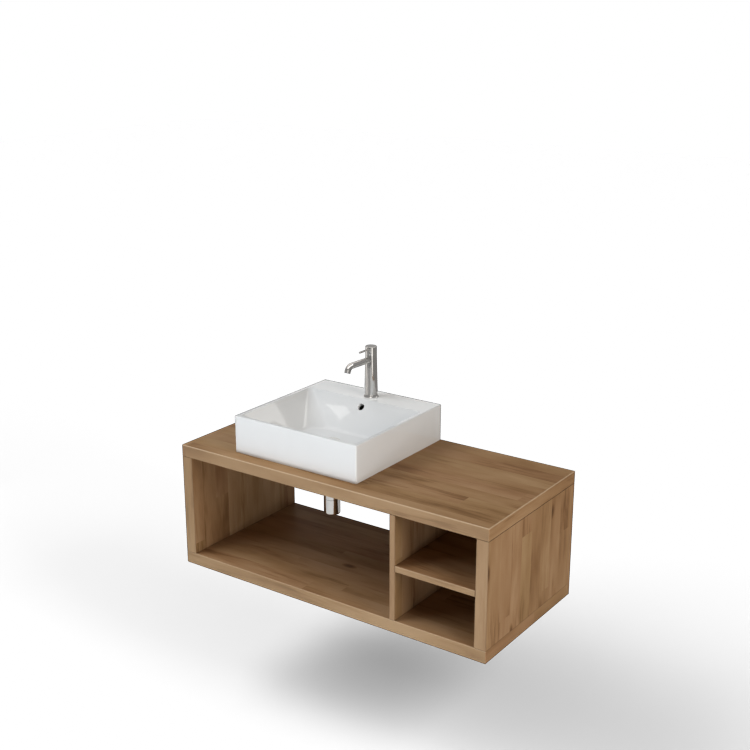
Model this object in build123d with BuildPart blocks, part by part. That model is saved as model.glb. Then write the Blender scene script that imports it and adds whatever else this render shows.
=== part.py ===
from build123d import *
from math import acos, cos, degrees, radians, sin, sqrt, tan
import os

os.makedirs("parts", exist_ok=True)

# A wall-hung open vanity with a standing ceramic basin, a mixer tap and a bottle trap.
# Millimetres. X runs to the right, Y towards the wall and Z up. The wall is Y = 0, and the
# origin lies midway between the two wall screw holes in the rear rails.

# Cabinet boards
cabinet_width = 1100
cabinet_depth = 500
cabinet_height = 400
thick_board = 38
thin_board = 19
niche_width = 260
edge_radius = 2

# Rear rails and their wall screw holes
rail_height = 60
rail_thickness = 19
wall_hole_radius = 5
wall_hole_spacing = 900

# Wooden dowels
side_dowel_radius = 5
side_dowel_length = 60
thin_dowel_radius = 4
divider_dowel_length = 40
shelf_dowel_length = 30
shelf_dowel_depth = 11
rail_dowel_length = 24
rail_dowel_depth = 9
rail_dowel_spacing = 30
dowel_inset = 60
dowel_play = 0.05
dowel_end_play = 0.5

# Ceramic basin
basin_width = 456
basin_depth = 453
basin_height = 117
basin_left_inset = 179.5
basin_corner_radius = 5
rim_width = 12
rim_radius = 3
ledge_depth = 96
ledge_thickness = 12
bowl_depth = 94
bowl_slope = 50
bowl_floor_depth = 168
bowl_corner_radius = 12
bowl_corner_swell = 12
bowl_steps = 6
shell_thickness = 8
drain_collar_radius = 42
drain_recess_radius = 33
drain_recess_depth = 2
drain_hole_radius = 23
tap_hole_radius = 17.5
overflow_radius = 11
overflow_drop = 21
overflow_gap = 7
overflow_duct_wall = 5
overflow_duct_width = 36

# Sizes shared by several pieces
thread_play = 0.05
seat_gap = 0.3
hex_sides = 6
cut_over = 1
hose_hole_radius = 30

# Waste with push plug
waste_tube_radius = 21
waste_tube_bore = 18
waste_hole_play = 2
waste_tube_drop = 26
waste_flange_radius = 32
waste_flange_thickness = 3
seal_thickness = 1.5
overflow_slot_width = 14
washer_thickness = 3
washer_radius = 33
waste_nut_height = 12
waste_nut_radius = 30
spider_thickness = 4
spider_arm_width = 5
spider_drop = 30
spider_arms = 3
click_radius = 9
click_height = 26
click_floor = 4
plunger_radius = 4
plug_radius = 28
plug_thickness = 5
plug_seat_gap = 0.5
plug_seal_inner = 20
plug_seal_outer = 25
plug_seal_thickness = 2
plug_seal_proud = 0.3
plunger_play = 0.05
plunger_end_gap = 0.2

# Bottle trap
trap_drop = 172
trap_radius = 25
trap_wall = 2
trap_base = 2.5
trap_base_radius = 5
trap_pipe_radius = 16
trap_pipe_wall = 1.5
trap_pipe_play = 0.1
trap_neck_radius = 20
trap_neck_height = 16
trap_shoulder = 8
trap_roof = 3
cup_height = 50
cup_spigot_height = 7
dip_gap = 20
union_radius = 27
union_lip = 6
union_grip = 8
pipe_collar_height = 4
gasket_thickness = 2
gasket_inset = 0.5
nut_lip = 3
nut_wall = 4
nut_chamfer = 1
nut_lift = 1
neck_to_waste = 34
outlet_drop = 99
outlet_boss_radius = 19
outlet_boss_reach = 42
outlet_socket_depth = 12
outlet_bore_radius = 13
outlet_nut_length = 19
wall_spigot_length = 35
wall_spigot_radius = 15.8
rosette_radius = 31
rosette_depth = 12
rosette_wall = 1.5
rosette_arc_radius = 40

# Mixer tap
tap_setback = 57.5
tap_height = 165
cap_height = 28
cap_radius = 17.5
cap_edge_radius = 1
body_foot_radius = 20.5
base_ring_radius = 24
base_ring_height = 9
base_ring_edge = 1.5
base_ring_flare = 18
base_gasket_inner = 18.5
base_gasket_outer = 22
spigot_radius = 17
spigot_lift = 0.5
handle_sphere_radius = 20
handle_gap = 0.3
cartridge_bore_radius = 13.5
cartridge_depth = 36
cartridge_play = 0.1
rotor_radius = 11
rotor_height = 11
rotor_play = 0.05
rotor_end_gap = 0.2
ear_thickness = 3.5
ear_length = 8
ear_gap = 0.2
cartridge_nut_height = 7
cartridge_nut_bore = 10.2
pivot_pin_radius = 1.5
pivot_play = 0.05
pin_seat_play = 0.02
stem_boss_radius = 4.5
stem_half_width = 4.9
stem_radius = 4
stem_top_cover = 7.5
stem_play = 0.05
finger_radius = 2
finger_length = 11
finger_play = 0.4
lever_lift_angle = 22
lever_rod_radius = 2.3
lever_rod_reach = 61
lever_rod_height = 157.5
lever_rod_root = 7.5
lever_tip_radius = 1
set_screw_radius = 2.5
set_screw_length = 7
set_screw_height = 150.5
set_screw_socket_radius = 1.25
set_screw_socket_depth = 2.5
spout_height = 122.5
spout_radius = 8.85
spout_bore = 7.2
spout_reach = 126
spout_rise = 2
spout_bend = 72
spout_bend_radius = 20
spout_tip = 5
spout_root = 14.5
spout_seat_play = 0.05
spout_passage_radius = 5
aerator_length = 4
aerator_setback = 0.5
aerator_lip = 1.1
aerator_lip_depth = 1.2
aerator_hole_radius = 0.8
aerator_hole_circle = 3.2
aerator_holes = 6
inlet_radius = 4.5
inlet_depth = 14
inlet_spacing = 15
inlet_offset = 6
stud_radius = 4
stud_depth = 12
stud_offset = 11.5
stud_drop = 60
horseshoe_radius = 23
horseshoe_slot = 27
horseshoe_web = 2
stud_gasket_thickness = 3
stud_washer_thickness = 2.5
stud_nut_height = 6.5
stud_nut_radius = 7.5

# Heights of the cabinet
counter_underside = rail_height / 2
counter_top = counter_underside + thick_board
underside = counter_top - cabinet_height
bay_floor = underside + thick_board
shelf_low = (bay_floor + counter_underside - thin_board) / 2

# Widths of the cabinet
half_width = cabinet_width / 2
inner_half = half_width - thick_board
divider_right = inner_half - niche_width
divider_left = divider_right - thin_board
basin_x = -half_width + basin_left_inset + basin_width / 2

# Dowel places shared by the boards and the dowels
dowel_rows = [-cabinet_depth + dowel_inset, -cabinet_depth / 2, -dowel_inset]
joint_levels = [bay_floor, counter_underside]
side_dowel_x = half_width - thick_board / 2
side_dowel_points = [
    (x, y, z) for x in (-side_dowel_x, side_dowel_x) for y in dowel_rows for z in joint_levels
]
divider_x = (divider_left + divider_right) / 2
divider_dowel_points = [(divider_x, y, z) for y in dowel_rows for z in joint_levels]
shelf_shift = shelf_dowel_length / 2 - shelf_dowel_depth
shelf_dowel_x = [divider_right + shelf_shift, inner_half - shelf_shift]
shelf_dowel_points = [(x, y, shelf_low + thin_board / 2) for x in shelf_dowel_x for y in dowel_rows[::2]]
rail_shift = rail_dowel_length / 2 - rail_dowel_depth
rail_ends = [(-inner_half, 1), (divider_left, -1), (divider_right, 1), (inner_half, -1)]
rail_dowel_points = [
    (x + side * rail_shift, -rail_thickness / 2, level * rail_dowel_spacing / 2)
    for x, side in rail_ends
    for level in (-1, 1)
]
lying = (0, 90, 0)


def finish(builder, name):
    """Label a finished piece and write it to its own file."""
    builder.part.label = name
    export_step(builder.part, f"parts/{name}.step")


def board(left, right, low, high, depth):
    """Flat board against the wall, between two X and two Z values."""
    with BuildSketch(Plane(((left + right) / 2, -depth / 2, low))) as outline:
        Rectangle(right - left, depth)
    extrude(outline.sketch, amount=high - low)


def dowel_holes(points, radius, length, turn=(0, 0, 0)):
    """Drill for a set of dowels, with play round them and at their ends."""
    with Locations(*points):
        Cylinder(radius + dowel_play, length + 2 * dowel_end_play, rotation=turn, mode=Mode.SUBTRACT)


def dowels(points, radius, length, turn=(0, 0, 0)):
    """One set of round dowels."""
    with Locations(*points):
        Cylinder(radius, length, rotation=turn)


def ring(plane, length, outer, inner):
    """Round tube that starts on a plane and runs along its normal."""
    with BuildSketch(plane) as section:
        Circle(outer)
        Circle(inner, mode=Mode.SUBTRACT)
    extrude(section.sketch, amount=length)


def turned_plane(x, y):
    """Upright plane through a turning axis, with radius to the right and height up."""
    return Plane((x, y, 0), x_dir=(1, 0, 0), z_dir=(0, -1, 0))


def turned(x, y, corners, mode=Mode.ADD):
    """Solid turned about the upright line through x, y from (radius, height) corners."""
    with BuildSketch(turned_plane(x, y)) as outline:
        with BuildLine():
            Polyline(*corners, close=True)
        make_face()
    revolve(outline.sketch, axis=Axis((x, y, 0), (0, 0, 1)), mode=mode)


# Top board, with the waste hole and the hose hole under the basin
bowl_width = basin_width - 2 * rim_width
bowl_length = basin_depth - rim_width - ledge_depth
bowl_y = -ledge_depth - bowl_length / 2
tap_y = -tap_setback
with BuildPart() as top_board:
    board(-half_width, half_width, counter_underside, counter_top, cabinet_depth)
    wall_edges = top_board.faces().sort_by(Axis.Y)[-1].edges()
    fillet(top_board.edges() - wall_edges, edge_radius)
    with Locations((basin_x, bowl_y, counter_top)):
        Hole(waste_tube_radius + waste_hole_play)
    with Locations((basin_x, tap_y, counter_top)):
        Hole(hose_hole_radius)
    dowel_holes(side_dowel_points, side_dowel_radius, side_dowel_length)
    dowel_holes(divider_dowel_points, thin_dowel_radius, divider_dowel_length)
finish(top_board, "top_board")

# Bottom board
with BuildPart() as bottom_board:
    board(-half_width, half_width, underside, bay_floor, cabinet_depth)
    wall_edges = bottom_board.faces().sort_by(Axis.Y)[-1].edges()
    fillet(bottom_board.edges() - wall_edges, edge_radius)
    dowel_holes(side_dowel_points, side_dowel_radius, side_dowel_length)
    dowel_holes(divider_dowel_points, thin_dowel_radius, divider_dowel_length)
finish(bottom_board, "bottom_board")

# Sides, standing between bottom and top
with BuildPart() as left_side:
    board(-half_width, -inner_half, bay_floor, counter_underside, cabinet_depth)
    fillet(left_side.edges().filter_by(Axis.Z).group_by(Axis.Y)[0], edge_radius)
    dowel_holes(side_dowel_points, side_dowel_radius, side_dowel_length)
    dowel_holes(rail_dowel_points, thin_dowel_radius, rail_dowel_length, lying)
finish(left_side, "left_side")

with BuildPart() as right_side:
    board(inner_half, half_width, bay_floor, counter_underside, cabinet_depth)
    fillet(right_side.edges().filter_by(Axis.Z).group_by(Axis.Y)[0], edge_radius)
    dowel_holes(side_dowel_points, side_dowel_radius, side_dowel_length)
    dowel_holes(rail_dowel_points, thin_dowel_radius, rail_dowel_length, lying)
    dowel_holes(shelf_dowel_points, thin_dowel_radius, shelf_dowel_length, lying)
finish(right_side, "right_side")

# Divider between the open bay and the niche
with BuildPart() as divider:
    board(divider_left, divider_right, bay_floor, counter_underside, cabinet_depth)
    fillet(divider.edges().filter_by(Axis.Z).group_by(Axis.Y)[0], edge_radius)
    dowel_holes(divider_dowel_points, thin_dowel_radius, divider_dowel_length)
    dowel_holes(rail_dowel_points, thin_dowel_radius, rail_dowel_length, lying)
    dowel_holes(shelf_dowel_points, thin_dowel_radius, shelf_dowel_length, lying)
finish(divider, "divider")

# Fixed shelf in the niche
with BuildPart() as niche_shelf:
    board(divider_right, inner_half, shelf_low, shelf_low + thin_board, cabinet_depth)
    fillet(niche_shelf.edges().filter_by(Axis.X).group_by(Axis.Y)[0], edge_radius)
    dowel_holes(shelf_dowel_points, thin_dowel_radius, shelf_dowel_length, lying)
finish(niche_shelf, "niche_shelf")

# Rear rails under the top, each with a screw hole to the wall
wall_screw_planes = [
    Plane((side * wall_hole_spacing / 2, -rail_thickness, 0), x_dir=(1, 0, 0), z_dir=(0, -1, 0))
    for side in (-1, 1)
]
with BuildPart() as bay_rail:
    board(-inner_half, divider_left, -rail_height / 2, rail_height / 2, rail_thickness)
    with Locations(wall_screw_planes[0]):
        Hole(wall_hole_radius)
    dowel_holes(rail_dowel_points, thin_dowel_radius, rail_dowel_length, lying)
finish(bay_rail, "bay_rail")

with BuildPart() as niche_rail:
    board(divider_right, inner_half, -rail_height / 2, rail_height / 2, rail_thickness)
    with Locations(wall_screw_planes[1]):
        Hole(wall_hole_radius)
    dowel_holes(rail_dowel_points, thin_dowel_radius, rail_dowel_length, lying)
finish(niche_rail, "niche_rail")

# Dowels, one group for each size and place
with BuildPart() as side_dowels:
    dowels(side_dowel_points, side_dowel_radius, side_dowel_length)
finish(side_dowels, "side_dowels")

with BuildPart() as divider_dowels:
    dowels(divider_dowel_points, thin_dowel_radius, divider_dowel_length)
finish(divider_dowels, "divider_dowels")

with BuildPart() as shelf_dowels:
    dowels(shelf_dowel_points, thin_dowel_radius, shelf_dowel_length, lying)
finish(shelf_dowels, "shelf_dowels")

with BuildPart() as rail_dowels:
    dowels(rail_dowel_points, thin_dowel_radius, rail_dowel_length, lying)
finish(rail_dowels, "rail_dowels")

# Bowl of the basin. All four walls follow one section: a flat slope from the rim nearly to the
# bottom, then an arc that runs out level on the floor.
rim_level = counter_top + basin_height
slope = radians(bowl_slope)
floor_inset = (bowl_length - bowl_floor_depth) / 2
bowl_radius = (floor_inset - bowl_depth / tan(slope)) / tan(slope / 2)
arc_centre_depth = bowl_depth - bowl_radius


def arc_point(angle, outset):
    """Inset from the rim and depth below it, where the arc slopes at an angle, moved outward."""
    swing = bowl_radius + outset
    return floor_inset - swing * sin(angle), arc_centre_depth + swing * cos(angle)


def slope_point(along, outset):
    """Inset and depth of a point on the straight slope, at a distance down it, moved outward."""
    return along * cos(slope) - outset * sin(slope), along * sin(slope) + outset * cos(slope)


def bowl_section(point, outset):
    """Rounded rectangle round the bowl at an inset and depth. Its corners grow towards the floor."""
    inset, depth = point
    corner = bowl_corner_radius + bowl_corner_swell * depth / bowl_depth + outset
    with BuildSketch(Plane((basin_x, bowl_y, rim_level - depth))) as section:
        RectangleRounded(bowl_width - 2 * inset, bowl_length - 2 * inset, corner)
    return section.sketch


def bowl_form(outset, mode):
    """Bowl's inside or its outside: flat slopes from a little above the rim, then the arc to the floor."""
    rim_point = slope_point(-(rim_width + outset * cos(slope)) / sin(slope), outset)
    arc_points = [arc_point(slope * (1 - step / bowl_steps), outset) for step in range(bowl_steps + 1)]
    loft([bowl_section(rim_point, outset), bowl_section(arc_points[0], outset)], ruled=True, mode=mode)
    loft([bowl_section(point, outset) for point in arc_points], mode=mode)


def basin_block(mode):
    """Outer block of the basin on the counter."""
    with BuildSketch(Plane((basin_x, -basin_depth / 2, counter_top))) as outline:
        RectangleRounded(basin_width, basin_depth, basin_corner_radius)
    extrude(outline.sketch, amount=basin_height, mode=mode)


def overflow_band(near, far, start, width, mode):
    """Flat passage that follows the outside of the bowl's back wall down to the waste hole."""
    end = bowl_length / 2
    back_section = Plane((basin_x, -ledge_depth, rim_level), x_dir=(0, -1, 0), z_dir=(-1, 0, 0))

    def at(point):
        return point[0], -point[1]

    with BuildSketch(back_section) as band:
        with BuildLine():
            inner_arc = CenterArc((floor_inset, -arc_centre_depth), bowl_radius + near, 270, -bowl_slope)
            outer_arc = CenterArc((floor_inset, -arc_centre_depth), bowl_radius + far, 270, -bowl_slope)
            Polyline(inner_arc @ 1, at(slope_point(start, near)), at(slope_point(start, far)), outer_arc @ 1)
            Polyline(outer_arc @ 0, (end, -bowl_depth - far), (end, -bowl_depth - near), inner_arc @ 0)
        make_face()
    extrude(band.sketch, amount=width / 2, both=True, mode=mode)


with BuildPart() as bowl_shell:
    bowl_form(shell_thickness, Mode.ADD)
    basin_block(Mode.INTERSECT)

overflow_along = overflow_drop / sin(slope)
duct_start = overflow_along - overflow_radius - overflow_duct_wall
duct_outset = shell_thickness + overflow_gap
overflow_normal = Vector(0, sin(slope), -cos(slope))
overflow_inset, overflow_depth = slope_point(overflow_along, 0)
overflow_centre = Vector(basin_x, -ledge_depth - overflow_inset, rim_level - overflow_depth)
overflow_mouth = overflow_centre - overflow_normal * shell_thickness

# Basin: outer walls and ledge with a hollow underside, the bowl's shell, a collar that stands on
# the counter round the waste hole, and an overflow duct behind the back wall
with BuildPart() as basin:
    basin_block(Mode.ADD)
    with BuildSketch(Plane((basin_x, -basin_depth / 2, counter_top))):
        Rectangle(basin_width - 2 * rim_width, basin_depth - 2 * rim_width)
    extrude(amount=basin_height - ledge_thickness, mode=Mode.SUBTRACT)
    add(bowl_shell.part)
    with BuildSketch(Plane((basin_x, bowl_y, counter_top))):
        Circle(drain_collar_radius)
    extrude(amount=basin_height - bowl_depth)
    overflow_band(0, duct_outset + overflow_duct_wall, duct_start,
                  overflow_duct_width + 2 * overflow_duct_wall, Mode.ADD)
    bowl_form(0, Mode.SUBTRACT)
    overflow_band(shell_thickness, duct_outset, duct_start + overflow_duct_wall,
                  overflow_duct_width, Mode.SUBTRACT)
    with BuildSketch(Plane(overflow_mouth, x_dir=(1, 0, 0), z_dir=overflow_normal)):
        Circle(overflow_radius)
    extrude(amount=2 * shell_thickness + overflow_gap / 2, mode=Mode.SUBTRACT)
    with Locations((basin_x, bowl_y, rim_level - bowl_depth)):
        CounterBoreHole(drain_hole_radius, drain_recess_radius, drain_recess_depth)
    fillet(basin.faces().sort_by(Axis.Z)[-1].edges(), rim_radius)
    with Locations((basin_x, tap_y, rim_level)):
        Hole(tap_hole_radius, ledge_thickness + cut_over)
finish(basin, "basin")


def drain_plane(level):
    """Level plane on the axis of the waste and the trap."""
    return Plane((basin_x, bowl_y, level))


# Waste: flange in the bowl, threaded tube through basin and top board, overflow slots in line
# with the basin's duct, and a spider that carries the push mechanism
seat_level = rim_level - bowl_depth - drain_recess_depth
flange_level = seat_level + seal_thickness
flange_top = flange_level + waste_flange_thickness
waste_end = counter_underside - waste_tube_drop
spider_level = flange_level - spider_drop
slot_level = rim_level - bowl_depth - shell_thickness - overflow_gap
with BuildPart() as waste_body:
    turned(basin_x, bowl_y, [
        (waste_tube_bore, waste_end),
        (waste_tube_radius, waste_end),
        (waste_tube_radius, flange_level),
        (waste_flange_radius, flange_level),
        (waste_flange_radius, flange_top - waste_flange_thickness / 2),
        (waste_flange_radius - waste_flange_thickness / 2, flange_top),
        (waste_tube_bore + waste_flange_thickness, flange_top),
        (waste_tube_bore, flange_level),
    ])
    with BuildSketch(drain_plane(spider_level)):
        Circle(click_radius)
        with PolarLocations((waste_tube_bore + click_radius) / 2, spider_arms):
            Rectangle(waste_tube_bore - click_radius + 2 * cut_over, spider_arm_width)
    extrude(amount=-spider_thickness)
    with BuildSketch(drain_plane(slot_level)):
        Rectangle(overflow_slot_width, 2 * (waste_tube_radius + cut_over))
        Circle(waste_tube_bore - cut_over, mode=Mode.SUBTRACT)
    extrude(amount=overflow_gap, mode=Mode.SUBTRACT)
finish(waste_body, "waste_body")

with BuildPart() as flange_seal:
    ring(drain_plane(seat_level), seal_thickness, waste_flange_radius - gasket_inset, drain_hole_radius)
finish(flange_seal, "flange_seal")

# Rubber washer and nut that clamp the waste from below
washer_level = counter_underside - washer_thickness
nut_level = washer_level - waste_nut_height
with BuildPart() as waste_washer:
    ring(drain_plane(washer_level), washer_thickness, washer_radius, waste_tube_radius + thread_play)
finish(waste_washer, "waste_washer")

with BuildPart() as waste_nut:
    with BuildSketch(drain_plane(nut_level)):
        RegularPolygon(waste_nut_radius, hex_sides)
        Circle(waste_tube_radius + thread_play, mode=Mode.SUBTRACT)
    extrude(amount=waste_nut_height)
finish(waste_nut, "waste_nut")

# Push plug: housing on the spider, and a plunger with the plug cap and its seal, drawn closed
plug_low = flange_top + plug_seat_gap
click_top = spider_level + click_height
plunger_seat = spider_level + click_floor
plunger_low = plunger_seat + plug_seat_gap + plunger_end_gap
with BuildPart() as click_housing:
    turned(basin_x, bowl_y, [
        (0, spider_level),
        (click_radius, spider_level),
        (click_radius, click_top),
        (plunger_radius + plunger_play, click_top),
        (plunger_radius + plunger_play, plunger_seat),
        (0, plunger_seat),
    ])
finish(click_housing, "click_housing")

with BuildPart() as plug_plunger:
    with BuildSketch(drain_plane(plunger_low)):
        Circle(plunger_radius)
    extrude(amount=plug_low - plunger_low)
finish(plug_plunger, "plug_plunger")

with BuildPart() as plug_cap:
    with BuildSketch(drain_plane(plug_low)):
        Circle(plug_radius)
    extrude(amount=plug_thickness)
    fillet(plug_cap.edges().sort_by(Axis.Z)[-1], plug_thickness / 2)
    with BuildSketch(drain_plane(plug_low)):
        Circle(plug_seal_outer)
        Circle(plug_seal_inner, mode=Mode.SUBTRACT)
    extrude(amount=plug_seal_thickness - plug_seal_proud, mode=Mode.SUBTRACT)
finish(plug_cap, "plug_cap")

with BuildPart() as plug_seal:
    ring(drain_plane(plug_low - plug_seal_proud), plug_seal_thickness, plug_seal_outer, plug_seal_inner)
finish(plug_seal, "plug_seal")

# Bottle trap, from the union on the waste down to the cup
collar_top = waste_end - gasket_thickness
collar_low = collar_top - pipe_collar_height
trap_low = counter_underside - trap_drop
cup_top = trap_low + cup_height
head_low = cup_top + gasket_thickness / 2
pipe_bore = trap_pipe_radius - trap_pipe_wall
pipe_seat = trap_pipe_radius + trap_pipe_play
neck_top = waste_end - neck_to_waste
neck_low = neck_top - trap_neck_height
head_inner = trap_radius - trap_wall
with BuildPart() as union_gasket:
    ring(drain_plane(collar_top), gasket_thickness, waste_tube_radius - gasket_inset, pipe_bore)
finish(union_gasket, "union_gasket")

with BuildPart() as trap_inlet_tube:
    turned(basin_x, bowl_y, [
        (pipe_bore, trap_low + trap_base + dip_gap),
        (trap_pipe_radius, trap_low + trap_base + dip_gap),
        (trap_pipe_radius, collar_low),
        (waste_tube_radius - gasket_inset, collar_low),
        (waste_tube_radius - gasket_inset, collar_top),
        (pipe_bore, collar_top),
    ])
finish(trap_inlet_tube, "trap_inlet_tube")

with BuildPart() as trap_union_nut:
    turned(basin_x, bowl_y, [
        (pipe_seat, collar_low - union_lip),
        (union_radius - nut_chamfer, collar_low - union_lip),
        (union_radius, collar_low - union_lip + nut_chamfer),
        (union_radius, waste_end + union_grip - nut_chamfer),
        (union_radius - nut_chamfer, waste_end + union_grip),
        (waste_tube_radius + thread_play, waste_end + union_grip),
        (waste_tube_radius + thread_play, collar_low),
        (pipe_seat, collar_low),
    ])
finish(trap_union_nut, "trap_union_nut")

with BuildPart() as neck_gasket:
    ring(drain_plane(neck_top), gasket_thickness, trap_neck_radius, pipe_seat)
finish(neck_gasket, "neck_gasket")

neck_nut_top = neck_top + gasket_thickness + nut_lip
neck_nut_radius = trap_neck_radius + nut_wall
with BuildPart() as trap_neck_nut:
    turned(basin_x, bowl_y, [
        (trap_neck_radius + thread_play, neck_low + nut_lift),
        (neck_nut_radius, neck_low + nut_lift),
        (neck_nut_radius, neck_nut_top - nut_chamfer),
        (neck_nut_radius - nut_chamfer, neck_nut_top),
        (pipe_seat, neck_nut_top),
        (pipe_seat, neck_top + gasket_thickness),
        (trap_neck_radius + thread_play, neck_top + gasket_thickness),
    ])
finish(trap_neck_nut, "trap_neck_nut")

# Trap head with its neck and the outlet boss towards the wall
outlet_level = counter_underside - outlet_drop
outlet_plane = Plane((basin_x, bowl_y, outlet_level), x_dir=(1, 0, 0), z_dir=(0, 1, 0))
socket_start = outlet_boss_reach - outlet_socket_depth
with BuildPart() as trap_head:
    turned(basin_x, bowl_y, [
        (0, neck_top),
        (trap_neck_radius, neck_top),
        (trap_neck_radius, neck_low),
        (trap_radius, neck_low - trap_shoulder),
        (trap_radius, head_low),
        (0, head_low),
    ])
    with BuildSketch(outlet_plane):
        Circle(outlet_boss_radius)
    extrude(amount=outlet_boss_reach)
    turned(basin_x, bowl_y, [
        (0, neck_top),
        (pipe_seat, neck_top),
        (pipe_seat, neck_low - trap_roof),
        (trap_neck_radius, neck_low - trap_roof),
        (head_inner, neck_low - trap_roof - trap_shoulder),
        (head_inner, head_low),
        (0, head_low),
    ], Mode.SUBTRACT)
    with BuildSketch(outlet_plane):
        Circle(outlet_bore_radius)
    extrude(amount=outlet_boss_reach, mode=Mode.SUBTRACT)
    with BuildSketch(outlet_plane.offset(socket_start)):
        Circle(pipe_seat)
    extrude(amount=outlet_socket_depth, mode=Mode.SUBTRACT)
finish(trap_head, "trap_head")

with BuildPart() as cup_gasket:
    ring(drain_plane(cup_top), head_low - cup_top, trap_radius - gasket_inset, head_inner)
finish(cup_gasket, "cup_gasket")

with BuildPart() as trap_cup:
    with BuildSketch(drain_plane(trap_low)):
        Circle(trap_radius)
    extrude(amount=cup_height)
    fillet(trap_cup.edges().sort_by(Axis.Z)[0], trap_base_radius)
    with BuildSketch(drain_plane(cup_top)):
        Circle(head_inner - thread_play)
    extrude(amount=cup_spigot_height)
    with BuildSketch(drain_plane(trap_low + trap_base)):
        Circle(head_inner - trap_wall)
    extrude(amount=cup_height + cup_spigot_height - trap_base, mode=Mode.SUBTRACT)
finish(trap_cup, "trap_cup")

# Outlet nut and gasket, the pipe into the wall and its rosette
nut_outer = outlet_boss_radius + nut_wall
with BuildPart() as outlet_gasket:
    ring(outlet_plane.offset(outlet_boss_reach), gasket_thickness, outlet_boss_radius, pipe_seat)
finish(outlet_gasket, "outlet_gasket")

outlet_nut_start = outlet_boss_reach + gasket_thickness + nut_lip - outlet_nut_length
with BuildPart() as outlet_nut:
    ring(outlet_plane.offset(outlet_nut_start), outlet_nut_length, nut_outer, pipe_seat)
    chamfer(outlet_nut.edges().group_by(Axis.Y)[-1].sort_by(SortBy.RADIUS)[-1], nut_chamfer)
    with BuildSketch(outlet_plane.offset(outlet_nut_start)):
        Circle(outlet_boss_radius + thread_play)
    extrude(amount=outlet_nut_length - nut_lip, mode=Mode.SUBTRACT)
finish(outlet_nut, "outlet_nut")

pipe_start = socket_start + seat_gap
pipe_length = -bowl_y - pipe_start
with BuildPart() as wall_pipe:
    ring(outlet_plane.offset(pipe_start), pipe_length, trap_pipe_radius, pipe_bore)
    ring(outlet_plane.offset(-bowl_y), wall_spigot_length, wall_spigot_radius, pipe_bore)
finish(wall_pipe, "wall_pipe")

wall_plane = Plane((basin_x, 0, outlet_level), x_dir=(1, 0, 0), z_dir=(0, 0, 1))
with BuildPart() as wall_rosette:
    with BuildSketch(wall_plane):
        with BuildLine():
            rosette_nose = (pipe_seat + rosette_wall, -rosette_depth)
            front_arc = RadiusArc((rosette_radius, -rosette_wall), rosette_nose, rosette_arc_radius)
            Polyline(front_arc @ 1, (pipe_seat, -rosette_depth), (pipe_seat, -rosette_depth + rosette_wall),
                     (rosette_radius - rosette_wall, 0), (rosette_radius, 0), front_arc @ 0)
        make_face()
    revolve(axis=Axis((basin_x, 0, outlet_level), (0, 1, 0)))
finish(wall_rosette, "wall_rosette")

# Mixer tap. Heights are counted from the ledge it stands on.
tap_x = basin_x
split_level = rim_level + tap_height - cap_height
pivot_level = split_level - sqrt(handle_sphere_radius**2 - cap_radius**2)
ring_top = rim_level + base_ring_height
seat_sphere = handle_sphere_radius - handle_gap
cartridge_low = pivot_level - cartridge_depth
with BuildPart() as tap_base_ring:
    with BuildSketch(turned_plane(tap_x, tap_y)):
        with BuildLine():
            flare = RadiusArc(
                (base_ring_radius, rim_level + base_ring_edge), (body_foot_radius, ring_top), base_ring_flare
            )
            Polyline(
                flare @ 1,
                (spigot_radius + thread_play, ring_top),
                (spigot_radius + thread_play, rim_level),
                (base_gasket_inner, rim_level),
                (base_gasket_inner, rim_level + seal_thickness),
                (base_gasket_outer, rim_level + seal_thickness),
                (base_gasket_outer, rim_level),
                (base_ring_radius, rim_level),
                flare @ 0,
            )
        make_face()
    revolve(axis=Axis((tap_x, tap_y, 0), (0, 0, 1)))
finish(tap_base_ring, "tap_base_ring")

with BuildPart() as base_gasket:
    ring(Plane((tap_x, tap_y, rim_level)), seal_thickness, base_gasket_outer, base_gasket_inner)
finish(base_gasket, "base_gasket")

# Spout path in the tap's mid plane: a slightly rising straight, then a bend down to the outlet
spout_plane = Plane((tap_x, tap_y, rim_level), x_dir=(0, -1, 0), z_dir=(-1, 0, 0))
rise = radians(spout_rise)
bend = radians(spout_bend)
bend_reach = spout_bend_radius * (sin(bend) * cos(rise) + (1 - cos(bend)) * sin(rise))
tip_reach = spout_tip * cos(bend - rise)
spout_straight = (spout_reach - spout_root - bend_reach - tip_reach) / cos(rise)
bend_start = (spout_root + spout_straight * cos(rise), spout_height + spout_straight * sin(rise))
with BuildPart() as spout:
    with BuildLine(spout_plane) as spout_path:
        Line((spout_root, spout_height), bend_start)
        spout_arc = JernArc(bend_start, (cos(rise), sin(rise)), spout_bend_radius, -spout_bend)
        Line(spout_arc @ 1, spout_arc @ 1 + spout_tip * (spout_arc % 1))
    spout_root_plane = Plane(spout_path.line @ 0, z_dir=spout_path.line % 0)
    outlet = Plane(spout_path.line @ 1, z_dir=spout_path.line % 1)
    with BuildSketch(spout_root_plane):
        Circle(spout_radius)
        Circle(spout_bore, mode=Mode.SUBTRACT)
    sweep()
finish(spout, "spout")

with BuildPart() as aerator:
    with BuildSketch(outlet.offset(-aerator_setback - aerator_length)):
        Circle(spout_bore - thread_play)
    extrude(amount=aerator_length)
    with BuildSketch(outlet.offset(-aerator_setback - aerator_lip_depth)):
        Circle(spout_bore - aerator_lip)
    extrude(amount=aerator_lip_depth, mode=Mode.SUBTRACT)
    with BuildSketch(outlet.offset(-aerator_setback - aerator_length)):
        Circle(aerator_hole_radius)
        with PolarLocations(aerator_hole_circle, aerator_holes):
            Circle(aerator_hole_radius)
    extrude(amount=aerator_length, mode=Mode.SUBTRACT)
finish(aerator, "aerator")

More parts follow.
